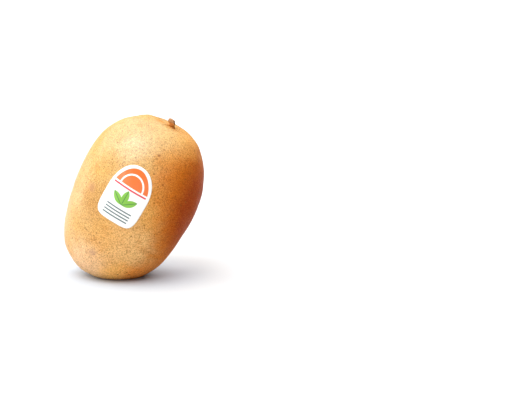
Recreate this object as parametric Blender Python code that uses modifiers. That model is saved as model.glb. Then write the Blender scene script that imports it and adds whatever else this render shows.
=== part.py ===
"""Golden kiwi fruit: one whole fruit that leans on a small flat spot, with its stem stub and label."""
from math import acos, atan2, cos, exp, hypot, pi, radians, sin

import bmesh
import bpy
from mathutils import Euler, Vector

# Driving dimensions of the fruit, in metres and degrees
HALF_LENGTH = 0.0359        # centre to either end, along the fruit's axis
HALF_WIDTH = 0.0251         # radius at the middle
STEM_FULLNESS = 0.079       # how much fuller the stem half is than the other
END_FULLNESS = 0.208        # how much blunter both ends are than an ellipse's
SHOULDER_EASE = 0.054       # takes back some of the fullness near the stem
OVALNESS = 0.98             # depth of the cross-section over its width
BOW = 0.0017                # how far the middle bows sideways from the axis
STEM_SHIFT = 0.0031         # how far the stem end sits to the side of the axis
STEM_SHIFT_REACH = 12       # a higher number keeps that shift closer to the stem end

# How the fruit stands
LEAN_RIGHT = radians(24.5)
LEAN_FORWARD = radians(6.0)
CENTRE = Vector((0.0047, -0.0014, 0.0327))  # its centre, seen from the middle of the flat spot

# The hollow round the stem, with its shallow creases
STEM_HOLLOW_DEPTH = 0.0013
STEM_HOLLOW_WIDTH = 0.0065
STEM_HOLLOW_SHIFT = 0.0040  # the hollow is lower on the side that the fruit leans to
CREASES = 7
CREASE_DEPTH = 0.00016
CREASE_RADIUS = 0.0036
CREASE_WIDTH = 0.0018

# The hollow at the flower end, with the dried remains of the flower in it
FLOWER_HOLLOW_DEPTH = 0.0013
FLOWER_HOLLOW_WIDTH = 0.0040
FLOWER_BUTTON_HEIGHT = 0.0011
FLOWER_BUTTON_WIDTH = 0.0019

# The stem stub: its centre line from the skin outwards, with the radius at each point
GAP = 0.0003                # clearance between pieces that touch on the real fruit
SOCKET_DEPTH = 0.0014
STUB_ROOT_RADIUS = 0.0010
STUB_LINE = (
    (0.0, -SOCKET_DEPTH + GAP, STUB_ROOT_RADIUS),
    (0.0, 0.0, STUB_ROOT_RADIUS),
    (-0.0001, 0.0008, 0.00124),
    (-0.0004, 0.0016, 0.00106),
    (-0.0008, 0.0024, 0.00134),
    (-0.0012, 0.0031, 0.00104),
)

# The label, along its own length and across it
LABEL_HALF_LENGTH = 0.0126
LABEL_HALF_WIDTH = 0.0089
LABEL_TOP_POWER = 2.25      # an arched top
LABEL_FOOT_POWER = 5.5      # a square foot with rounded corners
LABEL_HEIGHT = 0.0073       # its centre, from the fruit's centre towards the stem
LABEL_SIDE = radians(-104.5)  # angle round the axis, from the side that the fruit leans to
LABEL_TWIST = radians(5.0)
LABEL_THICKNESS = 0.0003

# Fineness of the meshes
RINGS = 44
SEGMENTS = 72
POLE_CROWDING = 0.3         # draws the rings towards both ends, where the small forms are
LABEL_RINGS = 5
LABEL_SEGMENTS = 44
FLOOR_CUTTER_SIZE = 0.08


def clear_scene():
    """Remove whatever the open file holds."""
    for thing in list(bpy.data.objects):
        bpy.data.objects.remove(thing, do_unlink=True)


def new_collection(name):
    """A collection under the scene's own."""
    collection = bpy.data.collections.new(name)
    bpy.context.scene.collection.children.link(collection)
    return collection


def new_material(name, colour, roughness):
    """A plain Principled material."""
    material = bpy.data.materials.new(name)
    material.use_nodes = True
    shader = material.node_tree.nodes["Principled BSDF"]
    shader.inputs["Base Color"].default_value = (*colour, 1.0)
    shader.inputs["Roughness"].default_value = roughness
    shader.inputs["Metallic"].default_value = 0.0
    return material


def add_object(name, mesh, collection, parent, material=None):
    """Link a mesh as an object that stands in the fruit's own frame."""
    thing = bpy.data.objects.new(name, mesh)
    thing.parent = parent
    collection.objects.link(thing)
    if material:
        mesh.materials.append(material)
    return thing


def make_cutter(thing):
    """Keep a cutter out of the model and show it as wire."""
    thing.hide_render = True
    thing.display_type = "WIRE"


def cut_with(thing, cutter):
    """Cut one object out of another."""
    boolean = thing.modifiers.new("cut by " + cutter.name, "BOOLEAN")
    boolean.operation = "DIFFERENCE"
    boolean.solver = "EXACT"
    boolean.object = cutter


def bump(distance, width):
    """A smooth hump, 1 at its middle."""
    return exp(-((distance / width) ** 2))


def radius_at(level):
    """Radius of the fruit at a level along its axis, from -1 at the flower end to 1 at the stem."""
    fullness = 1 + STEM_FULLNESS * level + END_FULLNESS * level ** 2 - SHOULDER_EASE * level ** 3
    return HALF_WIDTH * (1 - level ** 2) ** 0.5 * fullness


def sideways_at(level):
    """How far the middle line lies to the side of the axis at a level."""
    return BOW * (1 - level ** 2) + STEM_SHIFT * ((1 + level) / 2) ** STEM_SHIFT_REACH


def skin_point(level, around):
    """Point of the skin at a level along the axis and an angle round it."""
    radius = radius_at(level)
    height = HALF_LENGTH * level
    if level > 0:
        aside = hypot(radius * cos(around) - STEM_HOLLOW_SHIFT, radius * sin(around))
        height -= STEM_HOLLOW_DEPTH * bump(aside, STEM_HOLLOW_WIDTH)
        crease = CREASE_DEPTH * bump(radius - CREASE_RADIUS, CREASE_WIDTH)
        height -= crease * cos(CREASES * around)
    else:
        height += FLOWER_HOLLOW_DEPTH * bump(radius, FLOWER_HOLLOW_WIDTH)
        height -= FLOWER_BUTTON_HEIGHT * bump(radius, FLOWER_BUTTON_WIDTH)
    across = sideways_at(level) + radius * cos(around)
    return Vector((across, OVALNESS * radius * sin(around), height))


def skin_normal(level, around):
    """Direction straight out of the skin at a point."""
    step = 0.01
    along = skin_point(level + step, around) - skin_point(level - step, around)
    sideways = skin_point(level, around + step) - skin_point(level, around - step)
    return sideways.cross(along).normalized()


def make_fruit(collection, cutters, frame):
    """The fruit: a sphere whose points are moved onto the skin, cut flat where it rests."""
    grid = bmesh.new()
    bmesh.ops.create_uvsphere(grid, u_segments=SEGMENTS, v_segments=RINGS, radius=1.0)
    for vertex in grid.verts:
        polar = acos(max(-1.0, min(1.0, vertex.co.z)))
        polar -= POLE_CROWDING * sin(2 * polar)
        vertex.co = skin_point(cos(polar), atan2(vertex.co.y, vertex.co.x))
    mesh = bpy.data.meshes.new("kiwi_fruit")
    grid.to_mesh(mesh)
    grid.free()
    mesh.shade_smooth()
    skin = new_material("golden_tan_skin", (0.64, 0.37, 0.13), 0.55)
    fruit = add_object("kiwi_fruit", mesh, collection, frame, skin)

    bpy.ops.mesh.primitive_cube_add(size=FLOOR_CUTTER_SIZE, location=(0, 0, -FLOOR_CUTTER_SIZE / 2))
    floor_cutter = bpy.context.active_object
    floor_cutter.name = "floor_cutter"
    move_to(floor_cutter, cutters)
    make_cutter(floor_cutter)
    cut_with(fruit, floor_cutter)

    socket = bmesh.new()
    radius = STUB_ROOT_RADIUS + GAP
    bmesh.ops.create_cone(
        socket, cap_ends=True, segments=24, radius1=radius, radius2=radius, depth=2 * SOCKET_DEPTH
    )
    mesh = bpy.data.meshes.new("socket_cutter")
    socket.to_mesh(mesh)
    socket.free()
    socket_cutter = add_object("socket_cutter", mesh, cutters, frame)
    socket_cutter.location = stem_seat()
    make_cutter(socket_cutter)
    cut_with(fruit, socket_cutter)


def stem_seat():
    """Middle of the hollow at the stem end."""
    return skin_point(1.0, 0.0)


def move_to(thing, collection):
    """Take an object out of the scene's collection and put it in another."""
    for held in thing.users_collection:
        held.objects.unlink(thing)
    collection.objects.link(thing)


def make_stub(collection, frame):
    """The stem stub: a bent tube whose radius swells to a knob."""
    curve = bpy.data.curves.new("stem_stub", "CURVE")
    curve.dimensions = "3D"
    curve.bevel_depth = 1.0
    curve.bevel_resolution = 4
    curve.use_fill_caps = True
    curve.resolution_u = 3
    line = curve.splines.new("BEZIER")
    line.radius_interpolation = "CARDINAL"
    line.bezier_points.add(len(STUB_LINE) - 1)
    for point, (across, up, radius) in zip(line.bezier_points, STUB_LINE):
        point.co = (across, 0.0, up)
        point.radius = radius
        point.handle_left_type = "AUTO"
        point.handle_right_type = "AUTO"
    wood = new_material("stem_wood", (0.33, 0.19, 0.11), 0.75)
    curve.materials.append(wood)
    stub = bpy.data.objects.new("stem_stub_line", curve)
    collection.objects.link(stub)
    stub.parent = frame
    stub.location = stem_seat()
    bpy.context.view_layer.update()

    mesh = bpy.data.meshes.new_from_object(stub.evaluated_get(bpy.context.evaluated_depsgraph_get()))
    welded = bmesh.new()
    welded.from_mesh(mesh)
    bmesh.ops.remove_doubles(welded, verts=welded.verts, dist=0.00001)
    welded.to_mesh(mesh)
    welded.free()
    mesh.name = "stem_stub"
    mesh.set_sharp_from_angle(angle=radians(40))
    solid = bpy.data.objects.new("stem_stub", mesh)
    collection.objects.link(solid)
    solid.parent = frame
    solid.location = stub.location
    bpy.data.objects.remove(stub, do_unlink=True)


def label_reach(angle):
    """Distance from the label's centre to its edge, 0 degrees pointing to its arched top."""
    power = LABEL_TOP_POWER if cos(angle) > 0 else LABEL_FOOT_POWER
    along = (abs(cos(angle)) / LABEL_HALF_LENGTH) ** power
    across = (abs(sin(angle)) / LABEL_HALF_WIDTH) ** power
    return (along + across) ** (-1 / power)


def label_point(along, across):
    """Point just off the skin for a place on the label, measured from its centre."""
    up = along * cos(LABEL_TWIST) - across * sin(LABEL_TWIST)
    side = along * sin(LABEL_TWIST) + across * cos(LABEL_TWIST)
    level = (LABEL_HEIGHT + up) / HALF_LENGTH
    around = LABEL_SIDE + side / radius_at(LABEL_HEIGHT / HALF_LENGTH)
    return skin_point(level, around) + GAP * skin_normal(level, around)


def make_label(collection, frame):
    """The label: a thin sheet that follows the skin, made from the upper half of a sphere."""
    grid = bmesh.new()
    rings = 2 * LABEL_RINGS
    bmesh.ops.create_uvsphere(grid, u_segments=LABEL_SEGMENTS, v_segments=rings, radius=1.0)
    lower = [vertex for vertex in grid.verts if vertex.co.z < -0.01]
    bmesh.ops.delete(grid, geom=lower, context="VERTS")
    for vertex in grid.verts:
        share = acos(max(0.0, min(1.0, vertex.co.z))) / (pi / 2)
        angle = atan2(vertex.co.y, vertex.co.x)
        reach = share * label_reach(angle)
        vertex.co = label_point(reach * cos(angle), -reach * sin(angle))
    mesh = bpy.data.meshes.new("fruit_label")
    grid.to_mesh(mesh)
    grid.free()
    mesh.shade_smooth()
    paper = new_material("label_paper", (0.85, 0.84, 0.80), 0.4)
    label = add_object("fruit_label", mesh, collection, frame, paper)
    sheet = label.modifiers.new("paper thickness", "SOLIDIFY")
    sheet.thickness = LABEL_THICKNESS
    sheet.offset = 1.0


def main():
    clear_scene()
    collection = new_collection("golden_kiwi_fruit")
    cutters = new_collection("cutters")
    frame = bpy.data.objects.new("fruit_axis", None)
    collection.objects.link(frame)
    frame.location = CENTRE
    frame.rotation_mode = "YXZ"
    frame.rotation_euler = Euler((LEAN_FORWARD, LEAN_RIGHT, 0.0), "YXZ")
    make_fruit(collection, cutters, frame)
    make_stub(collection, frame)
    make_label(collection, frame)


main()
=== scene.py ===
"""Looks of the golden kiwi fruit: skin, stem stub, dried flower end and label, in soft studio light."""
from math import cos, pi, radians, sin

import bmesh
import bpy
import numpy as np
from mathutils import Euler, Matrix, Vector


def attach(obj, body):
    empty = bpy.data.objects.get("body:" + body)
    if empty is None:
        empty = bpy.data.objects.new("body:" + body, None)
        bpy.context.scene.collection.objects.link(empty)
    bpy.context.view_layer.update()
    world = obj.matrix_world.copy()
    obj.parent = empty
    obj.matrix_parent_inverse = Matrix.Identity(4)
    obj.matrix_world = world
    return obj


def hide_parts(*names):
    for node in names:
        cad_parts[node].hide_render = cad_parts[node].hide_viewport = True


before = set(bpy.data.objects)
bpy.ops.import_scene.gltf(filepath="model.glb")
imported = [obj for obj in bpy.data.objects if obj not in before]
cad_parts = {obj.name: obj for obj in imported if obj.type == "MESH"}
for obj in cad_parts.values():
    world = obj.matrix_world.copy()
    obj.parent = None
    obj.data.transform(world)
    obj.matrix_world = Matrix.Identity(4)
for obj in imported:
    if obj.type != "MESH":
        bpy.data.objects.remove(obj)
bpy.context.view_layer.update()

MM = 0.001

# The fruit's form, the same as the solid's: lengths in metres, angles in radians
HALF_LENGTH = 0.0359
HALF_WIDTH = 0.0251
STEM_FULLNESS = 0.079
END_FULLNESS = 0.208
SHOULDER_EASE = 0.054
OVALNESS = 0.98
BOW = 0.0017
STEM_SHIFT = 0.0031
STEM_SHIFT_REACH = 12
LEAN_RIGHT = radians(24.5)
LEAN_FORWARD = radians(6.0)
CENTRE = Vector((0.0047, -0.0014, 0.0327))
STEM_HOLLOW_DEPTH = 0.0013
STEM_HOLLOW_WIDTH = 0.0065
STEM_HOLLOW_SHIFT = 0.0040
FLOWER_HOLLOW_DEPTH = 0.0013
FLOWER_HOLLOW_WIDTH = 0.0040
FLOWER_BUTTON_HEIGHT = 0.0011
FLOWER_BUTTON_WIDTH = 0.0019

# The stem and the skin right round it sit a little deeper than in the solid
STEM_SINK = 0.0011
STEM_SINK_WIDTH = 0.0075

# The label, along its own length and across it
LABEL_HALF_LENGTH = 0.0126
LABEL_HALF_WIDTH = 0.0089
LABEL_TOP_POWER = 2.25
LABEL_FOOT_POWER = 5.5
LABEL_HEIGHT = 0.0073
LABEL_SIDE = radians(-104.5)
LABEL_TWIST = radians(5.0)
LABEL_LIFT = 0.07 * MM
LABEL_CURL = 0.03 * MM
LABEL_THICKNESS = 0.08 * MM

# Fineness of the meshes
SKIN_RINGS = 240
SKIN_SEGMENTS = 400
POLE_CROWDING = 0.3
LABEL_RINGS = 26
LABEL_SEGMENTS = 120
STUB_RINGS = 70
STUB_SEGMENTS = 64

# The camera: what one photo pixel measures at the fruit, and where the fruit's centre is in the photo
PHOTO_WIDTH = 512
PHOTO_HEIGHT = 400
METRES_PER_PIXEL = 0.00041
FRUIT_PIXEL = (129.7, 197.4)
CAMERA_ELEVATION_DEGREES = 12.0
CAMERA_DISTANCE = 0.9
SENSOR_WIDTH = 36.0

# Into the room from the fruit's own frame, whose Z axis runs up through the stem
TO_ROOM = Matrix.Translation(CENTRE) @ Euler((LEAN_FORWARD, LEAN_RIGHT, 0.0), "YXZ").to_matrix().to_4x4()

# Places on the skin are given by their level along the fruit, -1 to 1, and the angle round it in degrees
STEM_END = (1.0, 0.0)
FLOWER_END = (-1.0, 0.0)


def bump(distance, width):
    """A smooth hump, 1 at its middle."""
    return np.exp(-((distance / width) ** 2))


def waves(points, length, count, seed):
    """Soft random swells over space, about -1 to 1: waves of one length in many directions."""
    draw = np.random.RandomState(seed)
    total = np.zeros(len(points))
    for _ in range(count):
        direction = draw.normal(size=3)
        direction /= np.linalg.norm(direction)
        phase = draw.uniform(0, 2 * pi)
        total += np.cos(points @ direction * (2 * pi / length) + phase)
    return total / (count / 2) ** 0.5


def radius_at(level):
    """Radius of the fruit at a level along its axis, from -1 at the flower end to 1 at the stem."""
    fullness = 1 + STEM_FULLNESS * level + END_FULLNESS * level ** 2 - SHOULDER_EASE * level ** 3
    return HALF_WIDTH * np.sqrt(np.maximum(0.0, 1 - level ** 2)) * fullness


def skin_points(level, around):
    """Points of the smooth skin, in the fruit's own frame, for levels and angles round the axis."""
    radius = radius_at(level)
    aside = np.hypot(radius * np.cos(around) - STEM_HOLLOW_SHIFT, radius * np.sin(around))
    stem_dip = STEM_HOLLOW_DEPTH * bump(aside, STEM_HOLLOW_WIDTH)
    flower_dip = FLOWER_HOLLOW_DEPTH * bump(radius, FLOWER_HOLLOW_WIDTH)
    flower_dip = flower_dip - FLOWER_BUTTON_HEIGHT * bump(radius, FLOWER_BUTTON_WIDTH)
    height = HALF_LENGTH * level + np.where(level > 0, -stem_dip, flower_dip)
    across = BOW * (1 - level ** 2) + STEM_SHIFT * ((1 + level) / 2) ** STEM_SHIFT_REACH
    across = across + radius * np.cos(around)
    return np.stack([across, OVALNESS * radius * np.sin(around), height], axis=-1)


def skin_normals(level, around):
    """Directions straight out of the smooth skin."""
    step = 0.004
    above = skin_points(np.minimum(level + step, 1), around)
    below = skin_points(np.maximum(level - step, -1), around)
    side = skin_points(level, around + step) - skin_points(level, around - step)
    normal = np.cross(side, above - below)
    length = np.linalg.norm(normal, axis=-1, keepdims=True)
    poles = np.zeros_like(normal)
    poles[..., 2] = np.sign(level)
    return np.where(length > 1e-12, normal / np.maximum(length, 1e-12), poles)


# Waves of the uneven skin: height and length in millimetres, how many, and the seed of their directions
SKIN_WAVES = (
    (0.16, 26.0, 9, 11),
    (0.06, 9.0, 14, 12),
    (0.018, 2.6, 24, 13),
)


def soft_swell(points):
    """How far the skin stands out from its smooth form: broad swells, lumps and a fine unevenness."""
    swell = 0.0
    for height, length, count, seed in SKIN_WAVES:
        swell = swell + height * waves(points, length * MM, count, seed)
    return MM * swell


def into_room(points):
    """Points of the fruit's own frame, moved to where the fruit stands."""
    matrix = np.array(TO_ROOM)
    return points @ matrix[:3, :3].T + matrix[:3, 3]


def room_point(level, degrees):
    """One point of the smooth skin, in the room, in millimetres."""
    point = into_room(skin_points(np.array([level]), np.array([radians(degrees)])))[0]
    return tuple(float(value / MM) for value in point)


def read_points(mesh):
    """A mesh's points as an array."""
    flat = np.empty(len(mesh.vertices) * 3, np.float32)
    mesh.vertices.foreach_get("co", flat)
    return flat.reshape(-1, 3).astype(float)


def write_points(mesh, points):
    """Move a mesh's points."""
    mesh.vertices.foreach_set("co", np.asarray(points, np.float32).ravel())
    mesh.update()


def sphere_mesh(name, segments, rings, upper_half=False):
    """A unit sphere, or its upper half."""
    grid = bmesh.new()
    bmesh.ops.create_uvsphere(grid, u_segments=segments, v_segments=rings, radius=1.0)
    if upper_half:
        lower = [vertex for vertex in grid.verts if vertex.co.z < -1e-4]
        bmesh.ops.delete(grid, geom=lower, context="VERTS")
    mesh = bpy.data.meshes.new(name)
    grid.to_mesh(mesh)
    grid.free()
    mesh.shade_smooth()
    return mesh


def add_piece(name, mesh, material, node=None):
    """Show a mesh as a piece of the fruit, in place of a solid if one is named."""
    piece = bpy.data.objects.new(name, mesh)
    bpy.context.scene.collection.objects.link(piece)
    mesh.materials.append(material)
    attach(piece, "root")
    if node:
        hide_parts(node)
    return piece


class Nodes:
    """A material's nodes, made one after another."""

    def __init__(self, name):
        self.material = bpy.data.materials.new(name)
        self.material.use_nodes = True
        self.tree = self.material.node_tree
        self.tree.nodes.clear()
        self.output = self.tree.nodes.new("ShaderNodeOutputMaterial")
        self.shader = self.tree.nodes.new("ShaderNodeBsdfPrincipled")
        self.tree.links.new(self.shader.outputs[0], self.output.inputs["Surface"])

    def put(self, socket, value):
        """Set a socket to a number or colour, or link it to another node's output."""
        if isinstance(value, bpy.types.NodeSocket):
            self.tree.links.new(value, socket)
        elif isinstance(value, (tuple, list)) and len(value) == 3 and socket.type == "RGBA":
            socket.default_value = (*value, 1.0)
        else:
            socket.default_value = value

    def math(self, operation, first, second=0.0):
        node = self.tree.nodes.new("ShaderNodeMath")
        node.operation = operation
        self.put(node.inputs[0], first)
        self.put(node.inputs[1], second)
        return node.outputs[0]

    def add(self, first, second):
        return self.math("ADD", first, second)

    def times(self, first, second):
        return self.math("MULTIPLY", first, second)

    def line(self, value, start, end, low=0.0, high=1.0, steps="LINEAR"):
        """A straight ramp from low to high while the value goes from start to end."""
        node = self.tree.nodes.new("ShaderNodeMapRange")
        node.interpolation_type = steps
        self.put(node.inputs["Value"], value)
        self.put(node.inputs["From Min"], start)
        self.put(node.inputs["From Max"], end)
        self.put(node.inputs["To Min"], low)
        self.put(node.inputs["To Max"], high)
        return node.outputs[0]

    def ease(self, value, start, end, low=0.0, high=1.0):
        """A smooth step from low to high while the value goes from start to end."""
        return self.line(value, start, end, low, high, "SMOOTHSTEP")

    def mix(self, factor, first, second, blend="MIX"):
        node = self.tree.nodes.new("ShaderNodeMix")
        node.data_type = "RGBA"
        node.blend_type = blend
        self.put(node.inputs[0], factor)
        self.put(node.inputs[6], first)
        self.put(node.inputs[7], second)
        return node.outputs[2]

    def vector(self, operation, first, second=(0.0, 0.0, 0.0), scale=1.0):
        node = self.tree.nodes.new("ShaderNodeVectorMath")
        node.operation = operation
        self.put(node.inputs[0], first)
        if operation == "SCALE":
            self.put(node.inputs["Scale"], scale)
        else:
            self.put(node.inputs[1], second)
        return node.outputs["Value"] if operation in ("DISTANCE", "DOT_PRODUCT") else node.outputs[0]

    def place(self):
        """The place on the object, in metres."""
        return self.tree.nodes.new("ShaderNodeTexCoord").outputs["Object"]

    def millimetres(self):
        """The place on the object, in millimetres."""
        return self.vector("SCALE", self.place(), scale=1000.0)

    def distance(self, place, point):
        """How far a place is from a point."""
        return self.vector("DISTANCE", place, point)

    def ahead(self, place, direction):
        """How far a place lies in a direction."""
        return self.vector("DOT_PRODUCT", place, direction)

    def noise(self, place, scale, detail=2.0, roughness=0.5):
        node = self.tree.nodes.new("ShaderNodeTexNoise")
        self.put(node.inputs["Vector"], place)
        self.put(node.inputs["Scale"], scale)
        self.put(node.inputs["Detail"], detail)
        self.put(node.inputs["Roughness"], roughness)
        return node.outputs["Fac"]

    def cells(self, place, scale):
        """Distance to the nearest of scattered points, and two random numbers that each point keeps."""
        node = self.tree.nodes.new("ShaderNodeTexVoronoi")
        self.put(node.inputs["Vector"], place)
        self.put(node.inputs["Scale"], scale)
        split = self.tree.nodes.new("ShaderNodeSeparateColor")
        self.tree.links.new(node.outputs["Color"], split.inputs[0])
        return node.outputs["Distance"], split.outputs[0], split.outputs[1]

    def bump(self, height, distance, strength):
        """Give the shader a fine relief."""
        node = self.tree.nodes.new("ShaderNodeBump")
        self.put(node.inputs["Height"], height)
        self.put(node.inputs["Distance"], distance)
        self.put(node.inputs["Strength"], strength)
        self.put(self.shader.inputs["Normal"], node.outputs["Normal"])

    def set(self, **values):
        """Set the shader's sockets by name, with underscores for spaces."""
        for name, value in values.items():
            self.put(self.shader.inputs[name.replace("_", " ")], value)
        return self.material


# Skin colours, as linear values
SKIN_LIGHT = (0.70, 0.385, 0.138)
SKIN_TAN = (0.69, 0.340, 0.090)
SKIN_WARM = (0.66, 0.27, 0.055)
# Partly a riper tone, mostly painted shade on the flank away from the lamps
SKIN_RIPE_AND_SHADE = (0.58, 0.155, 0.012)
# Painted shade: the dark russet cheek low on that flank
PAINTED_SHADE_RUSSET = (0.28, 0.030, 0.004)
# Painted shade: a duller, darker back, offsetting the top light that falls from behind
BACK_PAINTED_SHADE = (0.50, 0.235, 0.080)
SPECK_BROWN = (0.17, 0.064, 0.009)
MARK_BROWN = (0.20, 0.055, 0.012)
STEM_RING_BROWN = (0.55, 0.20, 0.035)
FLOWER_SCAR_BROWN = (0.13, 0.055, 0.02)

# Tones that are shares of the skin's own colour, and what the pale stipple adds to it
# Painted light: the share of red kept on the crown, the upper left side that faces the lamps
LIT_CROWN_SHARES = (0.89, 1.0, 1.08)
STIPPLE_DARK = (0.28, 0.21, 0.12)
STIPPLE_PALE = (1.22, 1.45, 1.65)
STIPPLE_GLOW = (0.05, 0.045, 0.015)

# How fine the skin's clouds, patches, mottle, grain and specks are
CLOUD_SCALE = 0.055
PATCH_SCALE = 0.22
MOTTLE_SCALE = 0.75
GRAIN_SCALE = 2.4
SPECK_SCALE = 0.55
FINE_SPECK_SCALE = 0.95
SPECK_RADII = (0.12, 0.26)

# How far the borders of broad tones wander with the patches, in millimetres
WANDER = 3.0

# Sides of the fruit as it stands, and where each side's tone or gloss fades in, in millimetres that way
BACK = (0.0, 1.0, 0.0)
# Where the back's painted shade fades in
BACK_SHADE_FADE = (-3.0, 14.0)
# The crown, which faces the lamps, where its painted light fades in
LIT_CROWN = (-0.75, 0.0, 0.66)
LIT_CROWN_FADE = (-2.0, 14.0)
# The flank that leans down, away from the lamps: partly riper, mostly painted shade
SHADED_FLANK = (0.95, 0.10, -0.10)
SHADED_FLANK_FADE = (1.0, 17.0)
SHADED_FLANK_TOP_FADE = (27.0, 13.0)
SHADED_FLANK_BACK_FADE = (0.0, 20.0)
HIGH_FLANK = (-1.0, 0.0, 0.0)
HIGH_FLANK_FADE = (6.0, 24.0)
UPWARDS = (0.0, 0.0, 1.0)

# The painted shade on the flank that leans down, a dark russet cheek: its middle from the fruit's centre, in
# millimetres, its stretch, and the distances where it starts and is full
SHADE_CHEEK_MIDDLE = (27.0, -8.0, -4.0)
SHADE_CHEEK_STRETCH = (1.0, 1.0, 0.8)
SHADE_CHEEK_FADE = (24.0, 9.0)

# The smoothest and glossiest place of the skin
GLOSSY_SHOULDER = (0.719, -125.3)
GLOSSY_SHOULDER_FADE = (24.0, 5.0)

# Marks on the skin: level along the fruit, degrees round it, radius in millimetres, strength
SKIN_MARKS = (
    (0.735, -91.7, 0.75, 0.75),
    (0.805, -88.6, 0.6, 0.6),
    (0.724, -101.9, 0.5, 0.4),
    (0.697, -92.3, 0.6, 0.6),
    (0.595, -92.3, 0.6, 0.5),
    (0.47, -77.2, 0.7, 0.7),
    (0.614, -77.8, 0.5, 0.6),
    (-0.449, -108.5, 0.7, 0.55),
    (-0.442, -113.9, 0.55, 0.5),
    (-0.827, -52.6, 0.8, 0.8),
    (-0.713, -56.2, 0.6, 0.7),
    (-0.626, -86.8, 0.5, 0.5),
    (-0.47, -65.8, 0.5, 0.5),
    (-0.421, -131.3, 0.45, 0.4),
)

# Broad tones, with painted light and shade among them, and soft blotches: the same, and their colour
TONES_AND_PAINTED_LIGHT = (
    (-0.051, -132.5, 11.0, 0.60, (0.58, 0.24, 0.055)),
    # Painted light: paler low on the left
    (-0.751, -113.9, 15.0, 0.75, (0.86, 0.52, 0.27)),
    # Painted light: paler low at the front
    (-0.42, -84.0, 15.0, 0.60, (0.85, 0.49, 0.19)),
    # Painted highlight: paler, creamier skin round the glossy shoulder
    (0.702, -122.3, 12.0, 0.35, (0.80, 0.50, 0.22)),
    # Painted light: brighter near the bottom at the front
    (-0.74, -70.0, 10.0, 0.75, (0.92, 0.46, 0.12)),
    # Painted shade: redder and darker low at the right front
    (-0.70, -45.0, 12.0, 0.72, (0.80, 0.22, 0.022)),
    # Painted shade: darker and redder to the right of the label
    (0.435, -72.4, 11.0, 0.55, (0.60, 0.20, 0.02)),
    (0.93, -80.0, 12.0, 0.50, (0.80, 0.48, 0.16)),
)
SKIN_BLOTCHES = (
    (0.066, -140.3, 3.2, 0.50, (0.40, 0.19, 0.12)),
    (-0.608, -111.5, 2.6, 0.55, (0.40, 0.19, 0.12)),
    (0.985, 180.0, 3.0, 0.65, (0.72, 0.26, 0.04)),
)


def ground_colour(n, place, patch, wander):
    """The skin's ground: clouds of two tans, warmer patches, broad tones, and paler and redder patches of
    painted light and shade.
    """
    clouds = n.noise(place, CLOUD_SCALE)
    colour = n.mix(n.ease(clouds, 0.35, 0.65), SKIN_TAN, SKIN_LIGHT)
    colour = n.mix(n.ease(patch, 0.45, 0.75, 0.0, 0.5), colour, SKIN_WARM)
    for level, degrees, size, depth, tone in TONES_AND_PAINTED_LIGHT:
        near = n.add(n.distance(place, room_point(level, degrees)), wander)
        colour = n.mix(n.ease(near, size, 0.2 * size, 0.0, depth), colour, tone)
    return colour


def add_sides(n, colour, from_centre, wander):
    """Painted shade on the back, a crown painted a little less red as painted light, and a redder flank,
    partly a riper tone and mostly painted shade, with a dark russet cheek of painted shade.
    """
    back = n.add(n.ahead(from_centre, BACK), wander)
    # Painted shade: the back is duller and darker
    colour = n.mix(n.ease(back, *BACK_SHADE_FADE, 0.0, 0.85), colour, BACK_PAINTED_SHADE)
    # Painted light: the crown towards the lamps is a little less red
    lit_crown = n.ease(n.ahead(from_centre, LIT_CROWN), *LIT_CROWN_FADE)
    colour = n.mix(lit_crown, colour, n.mix(1.0, colour, LIT_CROWN_SHARES, "MULTIPLY"))

    # The flank's riper tone and painted shade are faint near the top, and weaker at the back
    side = n.add(n.ahead(from_centre, SHADED_FLANK), wander)
    height = n.add(n.ahead(from_centre, UPWARDS), wander)
    share = n.ease(height, *SHADED_FLANK_TOP_FADE, 0.10, 1.0)
    share = n.times(share, n.ease(back, *SHADED_FLANK_BACK_FADE, 1.0, 0.35))
    colour = n.mix(n.times(n.ease(side, *SHADED_FLANK_FADE), share), colour, SKIN_RIPE_AND_SHADE)

    # Painted shade: a dark russet cheek on the flank away from the lamps
    from_shade_cheek = n.vector("MULTIPLY", n.vector("SUBTRACT", from_centre, SHADE_CHEEK_MIDDLE), SHADE_CHEEK_STRETCH)
    shade_cheek = n.add(n.distance(from_shade_cheek, (0.0, 0.0, 0.0)), n.times(wander, 0.7))
    return n.mix(n.ease(shade_cheek, *SHADE_CHEEK_FADE, 0.0, 0.85), colour, PAINTED_SHADE_RUSSET)


def add_stipple(n, colour, mottle, grain):
    """Fine stipple, darker and lighter than the skin."""
    dark = n.mix(1.0, colour, STIPPLE_DARK, "MULTIPLY")
    pale = n.mix(1.0, n.mix(1.0, colour, STIPPLE_PALE, "MULTIPLY"), STIPPLE_GLOW, "ADD")
    colour = n.mix(n.ease(mottle, 0.50, 0.72, 0.0, 0.20), colour, dark)
    colour = n.mix(n.ease(grain, 0.49, 0.66, 0.0, 0.44), colour, dark)
    return n.mix(n.ease(grain, 0.47, 0.31, 0.0, 0.50), colour, pale)


def add_specks(n, colour, place):
    """Brown specks, a coarse scatter and a finer one. The coarse ones' mask is returned too."""
    distance, pick, size = n.cells(place, SPECK_SCALE)
    radius = n.line(size, 0.0, 1.0, *SPECK_RADII)
    coarse = n.ease(n.math("DIVIDE", distance, radius), 1.2, 0.5)
    coarse = n.times(coarse, n.ease(pick, 0.45, 0.95))
    colour = n.mix(n.times(coarse, 0.75), colour, SPECK_BROWN)
    distance, pick, _ = n.cells(place, FINE_SPECK_SCALE)
    fine = n.times(n.ease(distance, 0.36, 0.14), n.ease(pick, 0.35, 0.9))
    return n.mix(n.times(fine, 0.5), colour, SPECK_BROWN), coarse


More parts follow.
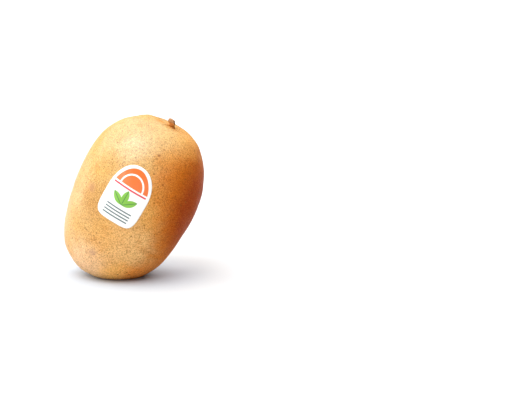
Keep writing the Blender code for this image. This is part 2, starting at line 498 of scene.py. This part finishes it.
def add_marks(n, colour, place, mottle, grain):
    """A few larger marks, and three soft blotches."""
    for level, degrees, size, depth in SKIN_MARKS:
        ragged = n.line(grain, 0.2, 0.8, -0.3 * size, 0.3 * size)
        near = n.add(n.distance(place, room_point(level, degrees)), ragged)
        colour = n.mix(n.ease(near, size, 0.3 * size, 0.0, depth), colour, MARK_BROWN)
    for level, degrees, size, depth, tone in SKIN_BLOTCHES:
        near = n.add(n.distance(place, room_point(level, degrees)), n.times(mottle, 2.0))
        colour = n.mix(n.ease(near, size + 1.0, 1.0, 0.0, depth), colour, tone)
    return colour


def add_ends(n, colour, place, patch, mottle):
    """Round the stem and the dried flower the skin is browner."""
    stem = n.add(n.distance(place, room_point(*STEM_END)), n.times(patch, 2.0))
    colour = n.mix(n.ease(stem, 4.6, 2.0, 0.0, 0.7), colour, STEM_RING_BROWN)
    flower = n.add(n.distance(place, room_point(*FLOWER_END)), n.times(mottle, 2.5))
    return n.mix(n.ease(flower, 6.0, 2.8, 0.0, 0.9), colour, FLOWER_SCAR_BROWN)


def skin_material():
    """Golden-tan skin: mottled, finely grained, with brown specks, darker round both ends."""
    n = Nodes("golden_skin")
    place = n.millimetres()
    from_centre = n.vector("SUBTRACT", place, tuple(CENTRE / MM))
    patch = n.noise(place, PATCH_SCALE, 3.0, 0.55)
    mottle = n.noise(place, MOTTLE_SCALE)
    grain = n.noise(place, GRAIN_SCALE, 1.0)
    wander = n.line(patch, 0.2, 0.8, -WANDER, WANDER)

    colour = ground_colour(n, place, patch, wander)
    colour = add_sides(n, colour, from_centre, wander)
    colour = add_stipple(n, colour, mottle, grain)
    colour, speck = add_specks(n, colour, place)
    colour = add_marks(n, colour, place, mottle, grain)
    colour = add_ends(n, colour, place, patch, mottle)

    lumps = n.add(n.times(mottle, 0.4), n.times(grain, -0.5))
    n.bump(n.add(lumps, n.times(speck, -0.3)), 0.0004, 0.5)
    shoulder = n.distance(place, room_point(*GLOSSY_SHOULDER))
    gloss = n.ease(n.ahead(from_centre, HIGH_FLANK), *HIGH_FLANK_FADE, 0.0, 0.5)
    gloss = n.math("MAXIMUM", n.ease(shoulder, *GLOSSY_SHOULDER_FADE), gloss)
    n.shader.subsurface_method = "RANDOM_WALK"
    return n.set(
        Base_Color=colour, Roughness=n.ease(mottle, 0.3, 0.7, 0.38, 0.46), IOR=1.42,
        Specular_IOR_Level=0.02, Specular_Tint=(1.0, 0.9, 0.75), Coat_Weight=gloss,
        Coat_Roughness=0.35, Coat_IOR=1.6, Subsurface_Weight=0.10,
        Subsurface_Radius=(1.0, 0.5, 0.22), Subsurface_Scale=0.0014,
    )


# Broad swells that the photograph shows: level, degrees round, height and width in metres
BROAD_SWELLS = (
    (0.662, 163.8, -0.00050, 0.011),
    (0.953, 164.4, 0.00050, 0.006),
    (0.966, 174.0, 0.00024, 0.0035),
    (0.986, -174.0, -0.00032, 0.0035),
)

# Creases and a collar round the stem, and the ruffle round the flower's button: height, radius and width
CREASES = (0.13 * MM, 3.4 * MM, 2.0 * MM)
COLLAR = (0.22 * MM, 1.6 * MM, 0.7 * MM)
RUFFLE = (0.14 * MM, 2.3 * MM, 0.9 * MM)
FOOT_ROUNDING = 0.12 * MM


def ring(radius, shape, waviness=1.0):
    """A ring of relief round the axis, of a height, radius and width."""
    height, middle, width = shape
    return height * waviness * bump(radius - middle, width)


def make_fruit():
    """The fruit's skin: the solid's form with soft swells, creases round the stem and a settled foot."""
    mesh = sphere_mesh("golden_fruit", SKIN_SEGMENTS, SKIN_RINGS)
    unit = read_points(mesh)
    polar = np.arccos(np.clip(unit[:, 2], -1, 1))
    polar = polar - POLE_CROWDING * np.sin(2 * polar)
    around = np.arctan2(unit[:, 1], unit[:, 0])
    level = np.cos(polar)
    points = skin_points(level, around)
    normals = skin_normals(level, around)

    swell = soft_swell(points)
    for at_level, degrees, height, width in BROAD_SWELLS:
        middle = skin_points(np.array(at_level), np.array(radians(degrees)))
        swell += height * bump(np.linalg.norm(points - middle, axis=-1), width)
    points = points + normals * swell[:, None]

    # Creases run from the stem across the hollow, and the skin rises a little where the stem grows
    radius = radius_at(level)
    wander = 0.5 * np.sin(2 * around + 0.7) + 0.35 * np.sin(3 * around + 2.0)
    folds = np.cos(7 * around + wander) + 0.5 * np.cos(12 * around + 1.3 + wander)
    sink = STEM_SINK * bump(radius, STEM_SINK_WIDTH)
    stem_relief = ring(radius, CREASES, folds) + ring(radius, COLLAR) - sink
    points[:, 2] += np.where(level > 0, stem_relief, 0.0)
    ruffle = ring(radius, RUFFLE, np.cos(11 * around + np.sin(3 * around)))
    points[:, 2] += np.where(level < 0, ruffle, 0.0)

    points = into_room(points)
    points[:, 2] = FOOT_ROUNDING * np.logaddexp(0.0, points[:, 2] / FOOT_ROUNDING)
    write_points(mesh, points)
    add_piece("golden_fruit", mesh, skin_material(), "kiwi_fruit")


# The stub's centre line and radius from its root outwards, in millimetres
STUB_REACH = (-0.6, 0.3, 0.75, 1.15, 1.5, 1.9, 2.35, 2.8, 3.2, 3.5)
STUB_ASIDE = (0.10, 0.0, -0.11, -0.27, -0.44, -0.66, -0.91, -1.15, -1.34, -1.46)
STUB_RADIUS = (1.30, 1.40, 1.22, 1.08, 1.12, 1.36, 1.50, 1.47, 1.28, 0.95)

# The shares of its mesh that close its ends and that round them off, and the dent in its broken head
STUB_CLOSING = 0.05
STUB_ROUNDING = 0.15
STUB_DENT = 0.22
STUB_DENT_WIDTH = 0.55

# The stub's colours, as linear values, and the directions of its length and of its side darkened with
# painted shade
STUB_ROOT = (0.40, 0.125, 0.016)
STUB_NECK = (0.82, 0.34, 0.09)
STUB_HEAD = (0.50, 0.26, 0.12)
STUB_FIBRE = (0.24, 0.075, 0.014)
STUB_FLECK = (0.10, 0.045, 0.02)
# Painted shade on the side away from the lamps
STUB_SHADED_SIDE = (0.12, 0.045, 0.010)
STUB_LENGTHWISE = (0.20, -0.05, 0.97)
STUB_SHADED_SIDEWAYS = (0.95, 0.10, 0.10)
STUB_GRAIN = (2.6, 2.6, 0.7)


def stub_material():
    """Dry stem wood: a brown root, an orange neck, a greyer head and one side darkened with painted shade,
    with fine fibres.
    """
    n = Nodes("stem_wood_dry")
    place = n.millimetres()
    from_seat = n.vector("SUBTRACT", place, room_point(*STEM_END))
    fibre = n.noise(n.vector("MULTIPLY", place, STUB_GRAIN), 2.2, 4.0, 0.65)
    fleck = n.noise(place, 3.4, 3.0, 0.6)
    height = n.add(n.ahead(from_seat, STUB_LENGTHWISE), n.times(fleck, 0.5))
    side = n.add(n.ahead(from_seat, STUB_SHADED_SIDEWAYS), n.times(fibre, 0.6))
    colour = n.mix(n.ease(height, 0.0, 0.7), STUB_ROOT, STUB_NECK)
    colour = n.mix(n.ease(height, 1.3, 1.8), colour, STUB_HEAD)
    colour = n.mix(n.ease(fibre, 0.40, 0.65, 0.0, 0.55), colour, STUB_FIBRE)
    colour = n.mix(n.ease(fleck, 0.57, 0.75, 0.0, 0.6), colour, STUB_FLECK)
    # Painted shade: the side away from the lamps is darker
    colour = n.mix(n.ease(side, 0.5, 1.2, 0.0, 0.85), colour, STUB_SHADED_SIDE)
    n.bump(n.add(n.times(fibre, 0.7), n.times(fleck, 0.4)), 0.00025, 0.8)
    return n.set(Base_Color=colour, Roughness=0.8, Specular_IOR_Level=0.08)


def make_stub():
    """The stem stub: a bent tube with a flared root, a waist and a knob whose end is broken off."""
    mesh = sphere_mesh("woody_stub", STUB_SEGMENTS, STUB_RINGS)
    unit = read_points(mesh)
    around = np.arctan2(unit[:, 1], unit[:, 0])
    share = 1 - np.arccos(np.clip(unit[:, 2], -1, 1)) / pi
    stations = np.linspace(0, 1, len(STUB_REACH))
    ends = np.minimum(1.0, np.minimum(share, 1 - share) / STUB_ROUNDING)
    ends = np.sqrt(np.maximum(0.0, 1 - (1 - ends) ** 2))
    run = np.clip((share - STUB_CLOSING) / (1 - 2 * STUB_CLOSING), 0, 1)
    reach = np.interp(run, stations, STUB_REACH)
    aside = np.interp(run, stations, STUB_ASIDE)
    radius = np.interp(run, stations, STUB_RADIUS) * ends
    ridges = 1 + 0.045 * np.cos(9 * around + 1.5 * np.sin(4 * run)) + 0.03 * np.cos(14 * around + 2)
    radius = radius * ridges
    points = np.stack([aside + radius * np.cos(around), radius * np.sin(around), reach], axis=-1)
    points += 0.05 * waves(points, 1.1, 16, 21)[:, None] * np.array([1.0, 1.0, 0.6])
    head = np.hypot(points[:, 0] - STUB_ASIDE[-1], points[:, 1])
    points[:, 2] += np.where(run > 0.99, -STUB_DENT * bump(head, STUB_DENT_WIDTH), 0.0)
    seat = skin_points(np.array([1.0]), np.array([0.0]))[0] - (0.0, 0.0, STEM_SINK)
    write_points(mesh, into_room(points * MM + seat))
    add_piece("woody_stub", mesh, stub_material(), "stem_stub")


# The flower's dried threads: how many, their size and place in millimetres, and their spread in radians
THREADS = 17
THREAD_LENGTHS = (0.7, 1.2)
THREAD_RADII = (0.17, 0.05)
THREAD_START = 0.7
THREAD_SHIFT = 0.42
THREAD_SPREAD = 0.12
THREAD_RISE = 0.35
THREAD_CLEARANCE = 0.12
THREAD_DARK = (0.10, 0.045, 0.02)
THREAD_LIGHT = (0.26, 0.13, 0.06)


def remnant_material():
    """Dried flower remains: dark brittle brown."""
    n = Nodes("dried_flower")
    tone = n.noise(n.millimetres(), 1.6, 3.0, 0.6)
    colour = n.mix(n.ease(tone, 0.35, 0.65), THREAD_DARK, THREAD_LIGHT)
    n.bump(tone, 0.0002, 0.7)
    return n.set(Base_Color=colour, Roughness=0.8, Specular_IOR_Level=0.25)


def make_remnants():
    """Short dried threads of the flower, lying outwards from the button at the lower end."""
    draw = np.random.RandomState(31)
    grid = bmesh.new()
    seat = Vector(skin_points(np.array([-1.0]), np.array([0.0]))[0])
    outwards = Matrix.Translation((THREAD_START * MM, 0, 0))
    for index in range(THREADS):
        angle = 2 * pi * index / THREADS + draw.uniform(-THREAD_SPREAD, THREAD_SPREAD)
        length = draw.uniform(*THREAD_LENGTHS) * MM
        rise = draw.uniform(0.0, THREAD_RISE)
        thick, thin = THREAD_RADII
        made = bmesh.ops.create_cone(
            grid, cap_ends=True, segments=7, radius1=thick * MM, radius2=thin * MM, depth=length
        )
        start = Matrix.Translation(seat) @ Matrix.Rotation(angle, 4, "Z") @ outwards
        along = Matrix.Translation((0, 0, length * THREAD_SHIFT))
        place = start @ Matrix.Rotation(pi / 2 + rise, 4, "Y") @ along
        bmesh.ops.transform(grid, matrix=TO_ROOM @ place, verts=made["verts"])
    for vertex in grid.verts:
        vertex.co.z = max(vertex.co.z, THREAD_CLEARANCE * MM)
    mesh = bpy.data.meshes.new("flower_remains")
    grid.to_mesh(mesh)
    grid.free()
    mesh.shade_smooth()
    add_piece("flower_remains", mesh, remnant_material())


def label_reach(angle):
    """Distance from the label's centre to its edge, 0 pointing to its arched top."""
    power = np.where(np.cos(angle) > 0, LABEL_TOP_POWER, LABEL_FOOT_POWER)
    along = (np.abs(np.cos(angle)) / LABEL_HALF_LENGTH) ** power
    across = (np.abs(np.sin(angle)) / LABEL_HALF_WIDTH) ** power
    return (along + across) ** (-1 / power)


# Colours of the label's paper and print, as linear values
PAPER = (0.90, 0.90, 0.87)
PAPER_CLOUD = (0.86, 0.87, 0.84)
ORANGE = (0.74, 0.15, 0.020)
GREEN = (0.19, 0.45, 0.040)
DARK_GREEN = (0.045, 0.20, 0.03)
RED = (0.66, 0.035, 0.07)
SLATE = (0.055, 0.10, 0.12)

# The label's print, in millimetres from its centre, and how soft its edges are
PRINT_SPAN = 30.0
PRINT_MARGIN = 1.1
EDGE = 0.09
ARCH_CENTRE = 0.6
ARCH_FOOT = 3.6
RING_OUTER = (5.3, 5.6)
RING_INNER = (4.6, 4.9)
LEAF_BASE = (0.0, -4.6)
LEAF_ANGLES = (-0.95, 0.0, 0.95)
LEAF_LENGTH = 6.6
LEAF_WIDTH = 2.9
RIB_HALF_WIDTH = 0.16
RULE_HEIGHTS = (2.2, 2.9)
RULE_INSET = 0.4
LINE_HEIGHTS = (-6.5, -7.8, -9.1, -10.4)
LINE_HALF_HEIGHT = 0.27
LINE_HALF_WIDTH = 5.6


def disc(n, across, along, centre, radii):
    """Mask of an ellipse on the label."""
    x = n.math("DIVIDE", n.add(across, -centre[0]), radii[0])
    y = n.math("DIVIDE", n.add(along, -centre[1]), radii[1])
    size = n.math("SQRT", n.add(n.times(x, x), n.times(y, y)))
    soft = EDGE / min(radii)
    return n.ease(size, 1 + soft, 1 - soft)


def band(n, value, low, high):
    """Mask of the stretch where a value lies between two limits."""
    inside = n.ease(value, low - EDGE, low + EDGE)
    return n.times(inside, n.ease(value, high + EDGE, high - EDGE))


def leaf(n, across, along, angle):
    """Masks of a pointed leaf and its midrib: where two circles overlap."""
    x = n.add(across, -LEAF_BASE[0])
    y = n.add(along, -LEAF_BASE[1])
    ahead = n.add(n.times(x, sin(angle)), n.times(y, cos(angle)))
    aside = n.add(n.times(x, cos(angle)), n.times(y, -sin(angle)))
    half = LEAF_LENGTH / 2
    bulge = LEAF_WIDTH / 2
    round_radius = (half ** 2 + bulge ** 2) / (2 * bulge)
    middle = n.add(ahead, -half)
    sides = []
    for sign in (-1, 1):
        gone = n.add(aside, sign * (round_radius - bulge))
        far = n.math("SQRT", n.add(n.times(middle, middle), n.times(gone, gone)))
        sides.append(n.ease(far, round_radius + EDGE, round_radius - EDGE))
    blade = n.times(sides[0], sides[1])
    return blade, n.times(blade, band(n, aside, -RIB_HALF_WIDTH, RIB_HALF_WIDTH))


def label_material():
    """Thin white paper with a plain print: an orange arch with a pale ring, a red rule, leaves and lines."""
    n = Nodes("sticker_paper")
    chart = n.tree.nodes.new("ShaderNodeUVMap")
    chart.uv_map = "print"
    split = n.tree.nodes.new("ShaderNodeSeparateXYZ")
    n.tree.links.new(chart.outputs[0], split.inputs[0])
    across = n.times(n.add(split.outputs[0], -0.5), PRINT_SPAN)
    along = n.times(n.add(split.outputs[1], -0.5), PRINT_SPAN)
    half_width = LABEL_HALF_WIDTH / MM - PRINT_MARGIN
    half_length = LABEL_HALF_LENGTH / MM - PRINT_MARGIN

    place = n.millimetres()
    colour = n.mix(n.noise(place, 0.8), PAPER, PAPER_CLOUD)
    arch = disc(n, across, along, (0.0, ARCH_CENTRE), (half_width, half_length - ARCH_CENTRE))
    arch = n.times(arch, n.ease(along, ARCH_FOOT - EDGE, ARCH_FOOT + EDGE))
    colour = n.mix(arch, colour, ORANGE)
    outer = disc(n, across, along, (0.0, ARCH_FOOT), RING_OUTER)
    inner = disc(n, across, along, (0.0, ARCH_FOOT), RING_INNER)
    pale_ring = n.times(n.times(outer, n.math("SUBTRACT", 1.0, inner)), arch)
    colour = n.mix(pale_ring, colour, PAPER)
    for angle in LEAF_ANGLES:
        blade, rib = leaf(n, across, along, angle)
        colour = n.mix(blade, colour, GREEN)
        colour = n.mix(rib, colour, DARK_GREEN)
    rule_end = half_width - RULE_INSET
    rule = n.times(band(n, along, *RULE_HEIGHTS), band(n, across, -rule_end, rule_end))
    colour = n.mix(rule, colour, RED)
    line_width = band(n, across, -LINE_HALF_WIDTH, LINE_HALF_WIDTH)
    for height in LINE_HEIGHTS:
        line = n.times(band(n, along, height - LINE_HALF_HEIGHT, height + LINE_HALF_HEIGHT), line_width)
        colour = n.mix(line, colour, SLATE)

    n.bump(n.noise(place, 2.5, 3.0), 0.00003, 0.5)
    return n.set(
        Base_Color=colour, Roughness=0.38, Specular_IOR_Level=0.5, Coat_Weight=0.15, Coat_Roughness=0.25,
        Subsurface_Weight=0.0,
    )


def make_label():
    """The label: a thin sheet pressed onto the skin, its edge lifting a hair here and there."""
    mesh = sphere_mesh("plain_label", LABEL_SEGMENTS, 2 * LABEL_RINGS, upper_half=True)
    unit = read_points(mesh)
    share = np.arccos(np.clip(unit[:, 2], 0, 1)) / (pi / 2)
    angle = np.arctan2(unit[:, 1], unit[:, 0])
    reach = share * label_reach(angle)
    along = reach * np.cos(angle)
    across = -reach * np.sin(angle)
    up = along * cos(LABEL_TWIST) - across * sin(LABEL_TWIST)
    side = along * sin(LABEL_TWIST) + across * cos(LABEL_TWIST)
    level = (LABEL_HEIGHT + up) / HALF_LENGTH
    turn = LABEL_SIDE + side / radius_at(np.array(LABEL_HEIGHT / HALF_LENGTH))
    normals = skin_normals(level, turn)
    points = skin_points(level, turn)
    lift = LABEL_LIFT + LABEL_CURL * share ** 6 * np.sin(5 * angle + 1.0)
    points = points + normals * (lift + soft_swell(points))[:, None]
    write_points(mesh, into_room(points))

    layer = mesh.uv_layers.new(name="print")
    corners = np.empty(len(mesh.loops), np.int32)
    mesh.loops.foreach_get("vertex_index", corners)
    chart = np.stack([across / MM / PRINT_SPAN + 0.5, along / MM / PRINT_SPAN + 0.5], axis=-1)
    layer.data.foreach_set("uv", chart[corners].astype(np.float32).ravel())

    label = add_piece("plain_label", mesh, label_material(), "fruit_label")
    sheet = label.modifiers.new("paper thickness", "SOLIDIFY")
    sheet.thickness = LABEL_THICKNESS
    sheet.offset = 1.0


# The floor's colours at the fruit, round it and far off, and the distances in metres where they change
FLOOR_NEAR = (0.58, 0.64, 0.71)
FLOOR_AROUND = (0.635, 0.64, 0.645)
FLOOR_FAR = (0.84, 0.84, 0.84)
NEAR_FADE = (0.015, 0.045)
FAR_FADE = (0.15, 0.6)
FLOOR_RADIUS = 40.0


def make_floor():
    """A plain white floor. A cool tint at the fruit offsets its warm glow, and far off it is paler."""
    bpy.ops.mesh.primitive_circle_add(vertices=96, radius=FLOOR_RADIUS, fill_type="TRIFAN")
    floor = bpy.context.active_object
    floor.name = "floor"
    n = Nodes("pale_floor")
    far = n.distance(n.place(), (0.0, 0.0, 0.0))
    colour = n.mix(n.ease(far, *NEAR_FADE), FLOOR_NEAR, FLOOR_AROUND)
    colour = n.mix(n.ease(far, *FAR_FADE), colour, FLOOR_FAR)
    floor.data.materials.append(n.set(Base_Color=colour, Roughness=0.9, Specular_IOR_Level=0.1))


# Round soft lamps: name, azimuth and elevation in degrees, distance and size in metres, power in watts
SOFTBOXES = (
    ("key", -43, 56, 1.1, 1.05, 9.1),
    ("fill", -50, 10, 1.0, 0.35, 2.4),
    ("left", -118, 18, 1.0, 0.60, 4.0),
)

# The wide overhead light: azimuth, elevation and spread in degrees, and strength
TOP_LIGHT = (172, 72, 112, 4.25)

# The room's brightness at its horizon and above it, and the heights of directions where it changes
ROOM_BRIGHTNESS = (1.0, 0.10)
HORIZON_FADE = (0.04, 0.12)


def towards(azimuth, elevation):
    """The direction from the fruit to a lamp. Azimuth 0 is the camera's side, positive to the right."""
    turn = radians(azimuth)
    tilt = radians(elevation)
    return Vector((sin(turn) * cos(tilt), -cos(turn) * cos(tilt), sin(tilt)))


def add_softbox(name, azimuth, elevation, distance, size, power):
    """A round soft lamp that faces the fruit."""
    light = bpy.data.lights.new(name, "AREA")
    light.shape = "DISK"
    light.size = size
    light.energy = power
    lamp = bpy.data.objects.new(name, light)
    bpy.context.scene.collection.objects.link(lamp)
    direction = towards(azimuth, elevation)
    lamp.visible_camera = False
    lamp.location = CENTRE + direction * distance
    lamp.rotation_euler = direction.to_track_quat("Z", "Y").to_euler()


def add_top_light(azimuth, elevation, spread, strength):
    """A wide overhead light that is even all over the floor."""
    light = bpy.data.lights.new("top", "SUN")
    light.angle = radians(spread)
    light.energy = strength
    lamp = bpy.data.objects.new("top", light)
    bpy.context.scene.collection.objects.link(lamp)
    lamp.rotation_euler = towards(azimuth, elevation).to_track_quat("Z", "Y").to_euler()


def light_room():
    """Soft studio light: lamps at the left, a wide top light and a dim room, pale at its horizon."""
    world = bpy.data.worlds.new("pale_room")
    bpy.context.scene.world = world
    world.use_nodes = True
    tree = world.node_tree
    background = tree.nodes["Background"]
    background.inputs["Color"].default_value = (1.0, 1.0, 1.0, 1.0)
    split = tree.nodes.new("ShaderNodeSeparateXYZ")
    tree.links.new(tree.nodes.new("ShaderNodeTexCoord").outputs["Generated"], split.inputs[0])
    fade = tree.nodes.new("ShaderNodeMapRange")
    fade.interpolation_type = "SMOOTHSTEP"
    tree.links.new(split.outputs[2], fade.inputs["Value"])
    fade.inputs["From Min"].default_value, fade.inputs["From Max"].default_value = HORIZON_FADE
    fade.inputs["To Min"].default_value, fade.inputs["To Max"].default_value = ROOM_BRIGHTNESS
    tree.links.new(fade.outputs[0], background.inputs["Strength"])
    add_top_light(*TOP_LIGHT)
    for softbox in SOFTBOXES:
        add_softbox(*softbox)


def place_camera():
    """The camera stands straight in front of the fruit, and turns until the fruit is at its photo pixel."""
    ahead = -towards(0.0, CAMERA_ELEVATION_DEGREES)
    seen = Vector((
        (FRUIT_PIXEL[0] - PHOTO_WIDTH / 2) * METRES_PER_PIXEL,
        (PHOTO_HEIGHT / 2 - FRUIT_PIXEL[1]) * METRES_PER_PIXEL,
        -CAMERA_DISTANCE,
    ))
    straight = (-ahead).to_track_quat("Z", "Y")
    turn = seen.rotation_difference(Vector((0.0, 0.0, -1.0)))
    lens = bpy.data.cameras.new("camera")
    lens.sensor_width = SENSOR_WIDTH
    lens.lens = SENSOR_WIDTH * CAMERA_DISTANCE / (PHOTO_WIDTH * METRES_PER_PIXEL)
    lens.clip_start = 0.01
    camera = bpy.data.objects.new("camera", lens)
    bpy.context.scene.collection.objects.link(camera)
    camera.location = CENTRE - ahead * CAMERA_DISTANCE
    camera.rotation_euler = (straight @ turn).to_euler()
    bpy.context.scene.camera = camera


place_camera()
make_fruit()
make_stub()
make_remnants()
make_label()
make_floor()
light_room()
bpy.context.scene.view_settings.view_transform = "Standard"
bpy.context.view_layer.update()
